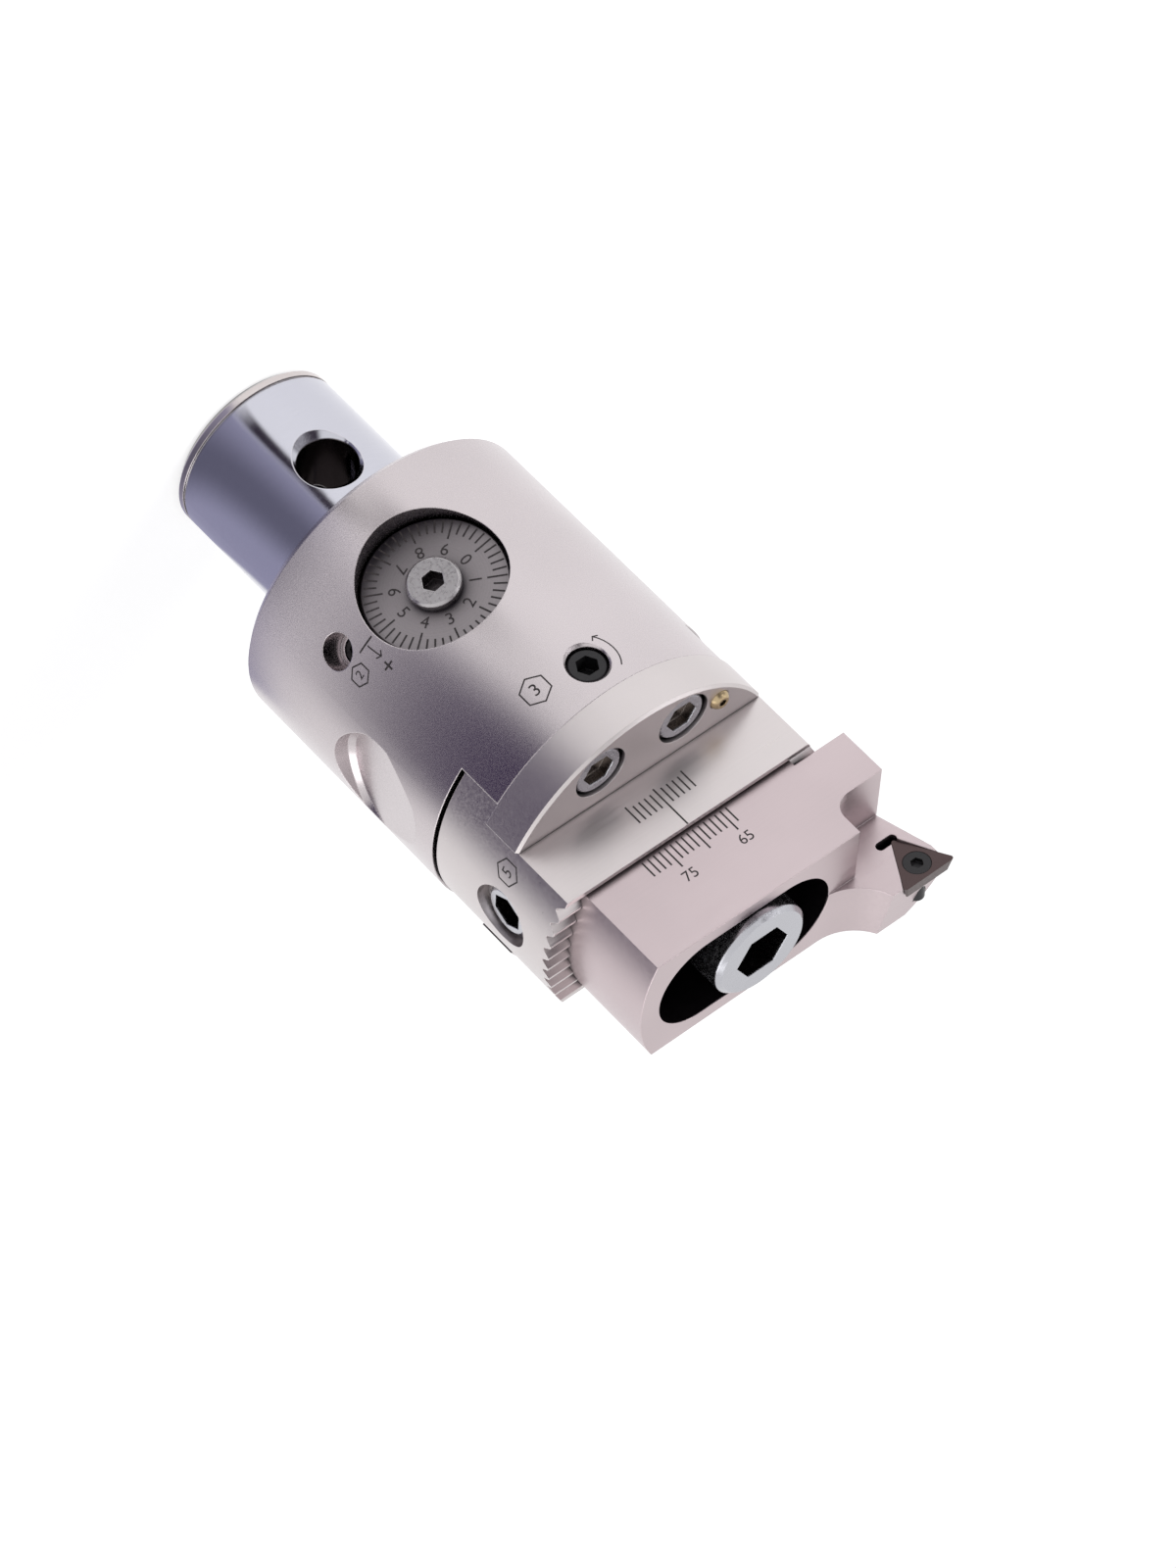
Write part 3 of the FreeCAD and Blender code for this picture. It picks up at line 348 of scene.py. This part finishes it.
def body_metal():
    """Satin nickel on the body, and a polished shank with a satin bead below the shoulder."""
    made = Nodes("body_nickel")
    height = made.position("Z")
    above = made.ramp(height, SHOULDER_SPAN)
    bead_high = BODY_LOW.z + BEAD_LENGTH
    on_bead = made.ramp(height, (bead_high, bead_high + BORDER), (1.0, 0.0))
    # painted shade inside the cross hole
    from_hole = made.off_axis(Vector((0, 0, CROSS_HOLE_HEIGHT)), Vector((0, 1, 0)))
    hole_shade = made.ramp(from_hole, HOLE_BORDER, (1.0, 0.0))
    cloud = made.noise(55.0, detail=2.0)
    rings = made.noise(300.0, RINGS_ROUND_Z, detail=4.0)
    blast = made.noise(5200.0, detail=2.0)
    normal, worn = made.edges(0.25 * MM)
    satin_dull = shade(SATIN_NICKEL, 0.95)
    satin_lit = shade(SATIN_NICKEL, 1.08)
    satin_worn = shade(SATIN_NICKEL, 1.22)
    polished_lit = shade(POLISHED_NICKEL, 1.1)
    satin = made.mix(made.ramp(cloud, NARROW), satin_dull, SATIN_NICKEL)
    satin = made.mix(made.ramp(blast, MIDDLE, (0.0, 0.3)), satin, satin_lit)
    shank = made.mix(made.ramp(rings, MIDDLE, (0.0, 0.4)), POLISHED_NICKEL, polished_lit)
    shank = made.mix(on_bead, shank, BEAD_NICKEL)
    shank = made.mix(made.times(hole_shade, 0.9), shank, HOLE_SHADE)
    # painted shade in crevices
    tone = made.crevice(made.mix(above, shank, satin), 1.2 * MM)
    tone = made.mix(made.times(worn, 0.6), tone, satin_worn)
    shank_rough = made.ramp(rings, WIDE, (0.10, 0.17))
    satin_rough = made.ramp(blast, WIDE, (0.22, 0.30))
    rough = made.mix(above, shank_rough, satin_rough, "FLOAT")
    return made.finish(tone, rough, made.bump(blast, 0.0015 * MM, normal), 1.0)


def dial_metal():
    """Satin dial face with fine turned rings, and painted shade from its recess on the shank's
    side.
    """
    made = Nodes("dial_satin")
    rings = made.add("ShaderNodeTexNoise", noise_dimensions="1D")
    made.fill(rings.inputs["Scale"], 9000.0)
    made.fill(rings.inputs["W"], made.off_axis(DIAL_CENTRE, DIAL_AXIS))
    grooves = rings.outputs["Fac"]
    tone = made.mix(made.ramp(grooves, MIDDLE), shade(SHADED_DIAL_SATIN, 0.92), shade(SHADED_DIAL_SATIN, 1.06))
    normal, worn = made.edges(0.12 * MM)
    tone = made.mix(worn, tone, shade(SHADED_DIAL_SATIN, 1.3))
    # painted shadow: occlusion leaning to the shank's side darkens that half of the dial
    painted_shadow_side = DIAL_AXIS - 1.1 * UP
    tone = made.crevice(tone, 14.0 * MM, (0.25, 0.80), facing=painted_shadow_side)
    rough = made.ramp(grooves, MIDDLE, (0.32, 0.46))
    return made.finish(tone, rough, made.bump(grooves, 0.003 * MM, normal), 1.0)


def marking():
    """Laser marking: matt, dark, with an uneven burn."""
    made = Nodes("laser_marking")
    burn = made.noise(2600.0)
    tone = made.mix(made.ramp(burn, MIDDLE), BURN_DARK, BURN_PALE)
    normal = made.edges(0.02 * MM)[0]
    return made.finish(tone, made.ramp(burn, MIDDLE, (0.55, 0.75)), normal, 0.2)


def rubber():
    """Black rubber with a little dust."""
    made = Nodes("seal_rubber")
    dust = made.noise(1500.0, detail=4.0)
    tone = made.mix(made.ramp(dust, DUSTY), RUBBER_DARK, RUBBER_DUSTY)
    normal = made.bump(dust, 0.004 * MM, made.edges(0.1 * MM)[0])
    return made.finish(tone, made.ramp(dust, MIDDLE, (0.6, 0.8)), normal, 0.0)


def plate_screw_steel(index):
    socket = key_socket(f"plate_screw_{index}", UP, 2.8 * MM)
    return metal(f"plate_screw_steel_{index}", BRIGHT, 0.24, grain_scale=1800.0, depth=0.001,
                 edge=0.3, hollow=socket, hollow_shade=PALE_SOCKET_SHADE)


plate_nickel = metal("plate_nickel", NICKEL, 0.34, grain_scale=5200.0, depth=0.0015, spread=0.05)
ground_steel = metal("ground_steel", GROUND, 0.32, grain_scale=1600.0)
black_oxide = metal("black_oxide", BLACK, 0.38, edge=0.15, metallic=0.7)
plain_brass = metal("plain_brass", BRASS, 0.28)
laser_marking = marking()

FINISHES = {
    "head_body": body_metal(),
    "guide_plate_dial_side": plate_nickel,
    "guide_plate_far_side": plate_nickel,
    "t_slide": metal("slide_nickel", NICKEL, 0.33, grain=LINES_ALONG_X, grain_scale=2600.0,
                     depth=0.002, spread=0.06),
    "insert_holder": metal("holder_nickel", PINKISH, 0.36, grain=LINES_ALONG_X,
                           grain_scale=2200.0, depth=0.003, spread=0.06, edge=0.2, reach=3.0,
                           hollow=clamp_slot, hollow_shade=SLOT_SHADE),
    "graduated_dial": dial_metal(),
    "adjusting_spindle": metal("spindle_steel", HUB, 0.30, grain_scale=2200.0, depth=0.001,
                               edge=0.2, hollow=key_socket("adjusting_spindle", DIAL_AXIS,
                                                           1.8 * MM, DIAL_CENTRE)),
    "clamp_screw": metal("clamp_steel", BRIGHT, 0.24, grain_scale=1400.0, depth=0.0015,
                         edge=0.3, hollow=key_socket("clamp_screw", UP, 4.7 * MM)),
    "end_plug": metal("plug_steel", BRIGHT, 0.24, grain_scale=1800.0, depth=0.001, edge=0.25,
                      hollow=key_socket("end_plug", SIDEWAYS, 2.95 * MM)),
    "clamp_washer": ground_steel,
    "spindle_retainer": ground_steel,
    "spring_washer": ground_steel,
    "wedge_pin": ground_steel,
    "thrust_washer": plain_brass,
    "lock_pad": plain_brass,
    "coolant_nozzle": plain_brass,
    "lock_screw": black_oxide,
    "brake_screw": black_oxide,
    "insert_screw": black_oxide,
    "cutting_insert": metal("coated_carbide", COATED, 0.34, grain_scale=3200.0, depth=0.002,
                            edge=0.06, metallic=0.8),
    "dial_seal": rubber(),
}
for index in range(1, 5):
    FINISHES[f"plate_screw_{index}"] = plate_screw_steel(index)
for name, node in nodes.items():
    for slot in node.material_slots:
        slot.material = FINISHES[name]

# ---------------------------------------------------------------------------
# Engraved marks: thin closed ribbons and figures let into the surface
# ---------------------------------------------------------------------------

MARK_LIFT = 0.012 * MM
MARK_DEPTH = 0.04 * MM
TICK_WIDTH = 0.26 * MM
INDEX_WIDTH = 0.28 * MM
ARROW_WIDTH = 0.2 * MM
PLUS_WIDTH = 0.3 * MM
HEXAGON_WIDTH = 0.22 * MM
HEXAGON_START = 30.0
ARC_STEP = 10
LONGEST_STRETCH = 0.6 * MM
MERGE_DISTANCE = 0.0005 * MM
FIGURE_RATIO = 0.72
FIGURE_STEPS = 3
DOWN = Vector((0, -1))


def on_surface(u, v):
    """A point on a marked surface, given in millimetres."""
    return Vector((u * MM, v * MM))


def round_point(radius, degrees):
    angle = math.radians(degrees)
    return Vector((radius * math.cos(angle), radius * math.sin(angle)))


class Marks:
    """A mesh of marks on one surface; place(u, v, lift) gives the point on it."""

    def __init__(self, name, body, place):
        self.name = name
        self.body = body
        self.place = place
        self.mesh = bmesh.new()

    def line(self, points, width, closed=False):
        """A ribbon of rectangular section along a run of points."""
        points = divided(points, closed)
        rings = []
        for index, point in enumerate(points):
            side = mitre(points, index, closed) * width / 2
            corners = ((point + side, MARK_LIFT), (point - side, MARK_LIFT),
                       (point - side, -MARK_DEPTH), (point + side, -MARK_DEPTH))
            rings.append([self.mesh.verts.new(self.place(at.x, at.y, lift))
                          for at, lift in corners])
        for first, second in zip(rings, rings[1:] + rings[:1] if closed else rings[1:]):
            for corner in range(4):
                following = (corner + 1) % 4
                self.mesh.faces.new((first[corner], first[following],
                                     second[following], second[corner]))
        if not closed:
            self.mesh.faces.new(reversed(rings[0]))
            self.mesh.faces.new(rings[-1])

    def arc(self, radius, start, end):
        """An arrow's arc round the surface's origin, between two angles in degrees."""
        steps = max(3, round(abs(end - start) / ARC_STEP))
        self.line([round_point(radius, start + (end - start) * step / steps)
                   for step in range(steps + 1)], ARROW_WIDTH)

    def figure(self, text, centre, height, up):
        """Figures centred on a point, with their tops towards up."""
        curve = bpy.data.curves.new("figure", "FONT")
        curve.body = text
        curve.align_x = "CENTER"
        curve.align_y = "CENTER"
        curve.size = height / FIGURE_RATIO
        curve.extrude = 1.0
        curve.resolution_u = FIGURE_STEPS
        holder = bpy.data.objects.new("figure", curve)
        bpy.context.scene.collection.objects.link(holder)
        bpy.context.view_layer.update()
        shape = bpy.data.meshes.new_from_object(
            holder.evaluated_get(bpy.context.evaluated_depsgraph_get()))
        bpy.data.objects.remove(holder)
        up = up.normalized()
        right = Vector((up.y, -up.x))
        for vertex in shape.vertices:
            at = centre + right * vertex.co.x + up * vertex.co.y
            vertex.co = self.place(at.x, at.y, MARK_LIFT if vertex.co.z > 0 else -MARK_DEPTH)
        self.mesh.from_mesh(shape)
        bpy.data.meshes.remove(shape)

    def key_size(self, text, centre, across, height):
        """A key's size in a hexagon, upright when the cutting end points down."""
        corners = [centre + round_point(across / math.sqrt(3), HEXAGON_START + 60 * corner)
                   for corner in range(6)]
        self.line(corners, HEXAGON_WIDTH, closed=True)
        self.figure(text, centre, height, DOWN)

    def done(self):
        bmesh.ops.remove_doubles(self.mesh, verts=self.mesh.verts, dist=MERGE_DISTANCE)
        bmesh.ops.recalc_face_normals(self.mesh, faces=self.mesh.faces)
        mesh = bpy.data.meshes.new(self.name)
        self.mesh.to_mesh(mesh)
        self.mesh.free()
        mesh.materials.append(laser_marking)
        piece = bpy.data.objects.new(self.name, mesh)
        bpy.context.scene.collection.objects.link(piece)
        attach(piece, self.body)


def divided(points, closed):
    """The same run with its long stretches divided, so that it follows a round surface."""
    run = points + points[:1] if closed else points
    result = []
    for start, end in zip(run, run[1:]):
        steps = max(1, math.ceil((end - start).length / LONGEST_STRETCH))
        result.extend(start.lerp(end, step / steps) for step in range(steps))
    return result if closed else result + [points[-1]]


def mitre(points, index, closed):
    """Sideways direction at a point, lengthened at corners to keep the line's width."""
    count = len(points)
    before = points[index] - points[index - 1] if closed or index > 0 else None
    after = (points[(index + 1) % count] - points[index]
             if closed or index < count - 1 else None)
    before = before or after
    after = after or before
    first = Vector((-before.y, before.x)).normalized()
    second = Vector((-after.y, after.x)).normalized()
    middle = (first + second).normalized()
    return middle / max(0.5, middle.dot(first))


def round_surface(radius, azimuth, height):
    """Marks on an upright cylinder: u runs round it towards +X and v along +Z."""
    def place(u, v, lift):
        angle = azimuth + u / radius
        reach = radius + lift
        return Vector((reach * math.sin(angle), -reach * math.cos(angle), height + v))
    return place


def flat_surface(origin, across, up):
    """Marks on a plane: u along across, v along up, and lift along their cross product."""
    out = across.cross(up)

    def place(u, v, lift):
        return origin + across * u + up * v + out * lift
    return place


def dial_marks():
    """Fifty divisions, every fifth longer, and a figure for each long one."""
    face = flat_surface(DIAL_CENTRE + DIAL_AXIS * DIAL_FACE, DIAL_ACROSS, UP)
    marks = Marks("dial_marks", "dial", face)
    divisions, figures = 50, 10
    rim = DIAL_RADIUS - 0.45 * MM
    long_start = 7.4 * MM
    short_start = 8.3 * MM
    figure_radius = 5.85 * MM
    for division in range(divisions):
        start = long_start if division % 5 == 0 else short_start
        degrees = 360 * division / divisions
        marks.line([round_point(start, degrees), round_point(rim, degrees)], TICK_WIDTH)
    for figure in range(figures):
        centre = round_point(figure_radius, 180 - 360 * figure / figures)
        marks.figure(str(figure), centre, 1.9 * MM, -centre)
    marks.done()


def body_marks():
    """Index line, turning arrow with its plus sign, and the brake screw's key size."""
    place = round_surface(BODY_RADIUS, DIAL_AZIMUTH, DIAL_CENTRE.z)
    marks = Marks("body_marks", "head", place)
    plus = on_surface(13.2, 4.9)
    marks.line([on_surface(11.9, 0), on_surface(14.9, 0)], INDEX_WIDTH)
    marks.arc(13.3 * MM, 1.5, 13.0)
    marks.line([on_surface(12.4, 2.45), on_surface(12.95, 3.1), on_surface(13.75, 2.65)],
               ARROW_WIDTH)
    for arm in (on_surface(0.85, 0), on_surface(0, 0.85)):
        marks.line([plus - arm, plus + arm], PLUS_WIDTH)
    marks.key_size("2", on_surface(17.3, 1.9), 2.9 * MM, 1.5 * MM)
    marks.done()


def lock_marks():
    """Key size and turning arrow beside the lock screw."""
    marks = Marks("lock_marks", "head", round_surface(BODY_RADIUS, 0.0, LOCK_HEIGHT))
    marks.key_size("3", on_surface(8.1, -1.5), 4.0 * MM, 2.0 * MM)
    marks.arc(4.7 * MM, 140.0, 222.0)
    marks.line([on_surface(-3.0, -2.5), on_surface(-3.5, -3.15), on_surface(-4.3, -2.9)],
               ARROW_WIDTH)
    marks.done()


def slide_marks():
    """Eleven ticks on the slide's side, and the index line above the middle one."""
    side = flat_surface(BLOCK_SIDE, SIDEWAYS, UP)
    marks = Marks("slide_marks", "slide", side)
    middle = 0.25
    top = SLIDE_HIGH.z / MM
    tick_start, short_end, long_end = top - 4.2, top - 7.0, top - 7.5
    for tick in range(-5, 6):
        end = short_end if tick % 5 else long_end
        marks.line([on_surface(middle + tick, tick_start), on_surface(middle + tick, end)],
                   TICK_WIDTH)
    marks.line([on_surface(middle, top - 0.05), on_surface(middle, tick_start)], TICK_WIDTH)
    marks.done()


def slide_end_marks():
    """The end plug's key size on the slide's round end."""
    azimuth = math.radians(69.9)
    height = 56.2 * MM
    marks = Marks("slide_end_marks", "slide", round_surface(SLIDE_HIGH.x, azimuth, height))
    marks.key_size("5", on_surface(0, 0), 3.6 * MM, 1.9 * MM)
    marks.done()


def holder_marks():
    """The bore scale on the holder's side, with every fifth tick longer and two figures."""
    side = flat_surface(Vector((0, HOLDER_LOW.y, 0)), SIDEWAYS, UP)
    marks = Marks("holder_marks", "holder", side)
    middle = -0.25
    start = SLIDE_HIGH.z / MM + 0.35
    for tick in range(-6, 10):
        end = start + (2.8 if tick % 5 else 3.9)
        marks.line([on_surface(middle + tick, start), on_surface(middle + tick, end)], TICK_WIDTH)
    for figure, tick in (("75", 5), ("65", -5)):
        marks.figure(figure, on_surface(middle + tick, start + 5.6), 1.75 * MM, DOWN)
    marks.done()


dial_marks()
body_marks()
lock_marks()
slide_marks()
slide_end_marks()
holder_marks()

# ---------------------------------------------------------------------------
# Camera at the photograph's angle
# ---------------------------------------------------------------------------

AZIMUTH = math.radians(27.593)
ELEVATION = math.radians(25.754)
ROLL = math.radians(134.121)
CAMERA_PLACE = Vector((336.00, -680.90, 412.40)) * MM
FOCAL_LENGTH_PIXELS = 6149.5
LONGER_SIDE_PIXELS = 1600
SENSOR_WIDTH = 36.0
SHIFT_X = -0.0563
SHIFT_Y = -0.0618
NEAREST = 0.01
FARTHEST = 50.0


def camera():
    back = direction(AZIMUTH, ELEVATION)
    level = Vector((math.cos(AZIMUTH), math.sin(AZIMUTH), 0))
    upright = back.cross(level)
    right = level * math.cos(ROLL) + upright * math.sin(ROLL)
    up = upright * math.cos(ROLL) - level * math.sin(ROLL)
    data = bpy.data.cameras.new("camera")
    data.sensor_width = SENSOR_WIDTH
    data.sensor_fit = "AUTO"
    data.lens = SENSOR_WIDTH * FOCAL_LENGTH_PIXELS / LONGER_SIDE_PIXELS
    data.shift_x = SHIFT_X
    data.shift_y = SHIFT_Y
    data.clip_start = NEAREST
    data.clip_end = FARTHEST
    turned = Matrix((right, up, back)).transposed().to_4x4()
    thing = bpy.data.objects.new("camera", data)
    thing.matrix_world = Matrix.Translation(CAMERA_PLACE) @ turned
    bpy.context.scene.collection.objects.link(thing)
    bpy.context.scene.camera = thing


camera()

# ---------------------------------------------------------------------------
# Studio: floor, world, soft lamps, and dark cards that only reflections show
# ---------------------------------------------------------------------------

FLOOR_HALF = 6.0
FLOOR_GAP = 0.02 * MM
FLOOR_COLOUR = (0.55, 0.55, 0.55)
FLOOR_GLOW = (0.71, 0.71, 0.71)
WORLD_LIGHT = (0.42, 0.42, 0.43)
WORLD_SEEN = (1.0, 1.0, 1.0)

SHADE = (0.035, 0.024, 0.040)
PURPLE_SHADE = (0.034, 0.014, 0.075)
BLUE_SHADE = (0.17, 0.165, 0.23)
PALE_BLUE_SHADE = (0.42, 0.41, 0.55)
CARD_STEPS = 40
CARD_ROWS = 8
LAYER = 0.2 * MM

LAMP_DISTANCE = 0.9


def seen_directly(tree):
    """A factor that is 1 for what the camera, metal and glass look at."""
    path = tree.nodes.new("ShaderNodeLightPath")
    total = path.outputs["Is Camera Ray"]
    for name in ("Is Glossy Ray", "Is Transmission Ray"):
        larger = tree.nodes.new("ShaderNodeMath")
        larger.operation = "MAXIMUM"
        tree.links.new(total, larger.inputs[0])
        tree.links.new(path.outputs[name], larger.inputs[1])
        total = larger.outputs["Value"]
    return total


def bare_material(name):
    """A material without a shader, and the node tree and output to build on."""
    made = bpy.data.materials.new(name)
    made.use_nodes = True
    tree = made.node_tree
    tree.nodes.remove(tree.nodes["Principled BSDF"])
    return made, tree, tree.nodes["Material Output"].inputs["Surface"]


def staged(name, vertices, faces, material):
    """A mesh of the studio, which isn't part of the object."""
    mesh = bpy.data.meshes.new(name)
    mesh.from_pydata(vertices, [], faces)
    mesh.materials.append(material)
    thing = bpy.data.objects.new(name, mesh)
    bpy.context.scene.collection.objects.link(thing)
    return thing


def floor():
    """A matt floor that looks white and keeps the object's faint shadow."""
    made, tree, output = bare_material("floor_white")
    matt = tree.nodes.new("ShaderNodeBsdfDiffuse")
    matt.inputs["Color"].default_value = (*FLOOR_COLOUR, 1.0)
    glow = tree.nodes.new("ShaderNodeEmission")
    glow.inputs["Color"].default_value = (*FLOOR_GLOW, 1.0)
    tree.links.new(seen_directly(tree), glow.inputs["Strength"])
    both = tree.nodes.new("ShaderNodeAddShader")
    tree.links.new(matt.outputs["BSDF"], both.inputs[0])
    tree.links.new(glow.outputs["Emission"], both.inputs[1])
    tree.links.new(both.outputs["Shader"], output)
    level = cad_low.z - FLOOR_GAP
    corners = [(x * FLOOR_HALF, y * FLOOR_HALF, level)
               for x, y in ((-1, -1), (1, -1), (1, 1), (-1, 1))]
    staged("floor", corners, [(0, 1, 2, 3)], made)


def world():
    """Plain light on the object, and white where the world is looked at."""
    made = bpy.data.worlds.new("studio")
    made.use_nodes = True
    tree = made.node_tree
    tone = tree.nodes.new("ShaderNodeMix")
    tone.data_type = "RGBA"
    tone.inputs["A"].default_value = (*WORLD_LIGHT, 1.0)
    tone.inputs["B"].default_value = (*WORLD_SEEN, 1.0)
    tree.links.new(seen_directly(tree), tone.inputs["Factor"])
    tree.links.new(tone.outputs["Result"], tree.nodes["Background"].inputs["Color"])
    bpy.context.scene.world = made


def fade(position, soft):
    """1 in the middle of a card, falling smoothly to 0 over the soft share at each end."""
    edge = min(1.0, min(position, 1.0 - position) / soft)
    return edge * edge * (3 - 2 * edge)


def card_material(name, colour):
    """A colour that the mesh's cover attribute fades out."""
    made, tree, output = bare_material(name)
    glow = tree.nodes.new("ShaderNodeEmission")
    glow.inputs["Color"].default_value = (*colour, 1.0)
    clear = tree.nodes.new("ShaderNodeBsdfTransparent")
    cover = tree.nodes.new("ShaderNodeAttribute")
    cover.attribute_name = "cover"
    blend = tree.nodes.new("ShaderNodeMixShader")
    tree.links.new(cover.outputs["Fac"], blend.inputs["Fac"])
    tree.links.new(clear.outputs["BSDF"], blend.inputs[1])
    tree.links.new(glow.outputs["Emission"], blend.inputs[2])
    tree.links.new(blend.outputs["Shader"], output)
    return made


def dark_card(name, colour, azimuths, radii, heights, soft=0.35, soft_across=0.15):
    """A dark card round the part that only reflections show, fading out towards its edges.

    It runs between two azimuths in degrees, and from an inner radius and height above the
    floor to an outer radius and height. Each flat card lies in its own layer.
    """
    start, end = azimuths
    inner, outer = radii
    low, high = heights
    vertices, covers = [], []
    for step in range(CARD_STEPS + 1):
        along = step / CARD_STEPS
        angle = math.radians(start + (end - start) * along)
        for row in range(CARD_ROWS + 1):
            across = row / CARD_ROWS
            radius = inner + (outer - inner) * across
            vertices.append((radius * math.sin(angle), -radius * math.cos(angle),
                             cad_low.z + low + (high - low) * across))
            covers.append(fade(along, soft) * fade(across, soft_across))
    column = CARD_ROWS + 1
    corners = [step * column + row for step in range(CARD_STEPS) for row in range(CARD_ROWS)]
    faces = [(corner, corner + column, corner + column + 1, corner + 1) for corner in corners]
    card = staged(name, vertices, faces, card_material(name, colour))
    card.data.attributes.new("cover", "FLOAT", "POINT").data.foreach_set("value", covers)
    card.visible_camera = False
    card.visible_diffuse = False
    card.visible_shadow = False
    card.visible_transmission = False


def lamp(name, azimuth, elevation, size, power):
    """A soft square light that faces the middle of the part."""
    middle = (cad_low + cad_high) / 2
    towards = direction(math.radians(azimuth), math.radians(elevation))
    data = bpy.data.lights.new(name, "AREA")
    data.size = size
    data.energy = power
    thing = bpy.data.objects.new(name, data)
    thing.location = middle + towards * LAMP_DISTANCE
    thing.rotation_euler = towards.to_track_quat("Z", "Y").to_euler()
    bpy.context.scene.collection.objects.link(thing)


floor()
world()
dark_card("shank_line", SHADE, (8.0, 22.0), (0.014, 0.085), (6 * LAYER, 6 * LAYER),
          soft_across=0.1)
dark_card("shank_mid", BLUE_SHADE, (13.0, 105.0), (0.004, 0.085), (5 * LAYER, 5 * LAYER),
          soft=0.45, soft_across=0.1)
dark_card("shank_shade", PALE_BLUE_SHADE, (12.0, 160.0), (0.004, 0.085), (4 * LAYER, 4 * LAYER),
          soft=0.08, soft_across=0.1)
dark_card("dial_shade", SHADE, (-12.0, 18.0), (0.085, 0.135), (3 * LAYER, 3 * LAYER),
          soft_across=0.25)
dark_card("body_shade", PURPLE_SHADE, (16.0, 130.0), (0.080, 0.60), (2 * LAYER, 2 * LAYER),
          soft=0.32)
dark_card("seam_shade", PURPLE_SHADE, (4.0, 100.0), (0.120, 0.60), (LAYER, LAYER), soft=0.4)
dark_card("front_shade", SHADE, (-85.0, 25.0), (0.30, 0.30), (0.10, 0.60), soft=0.2)
lamp("key", -50.0, 40.0, 0.5, 4.0)
lamp("fill", 110.0, 25.0, 0.6, 2.0)
bpy.context.scene.view_settings.view_transform = "Standard"
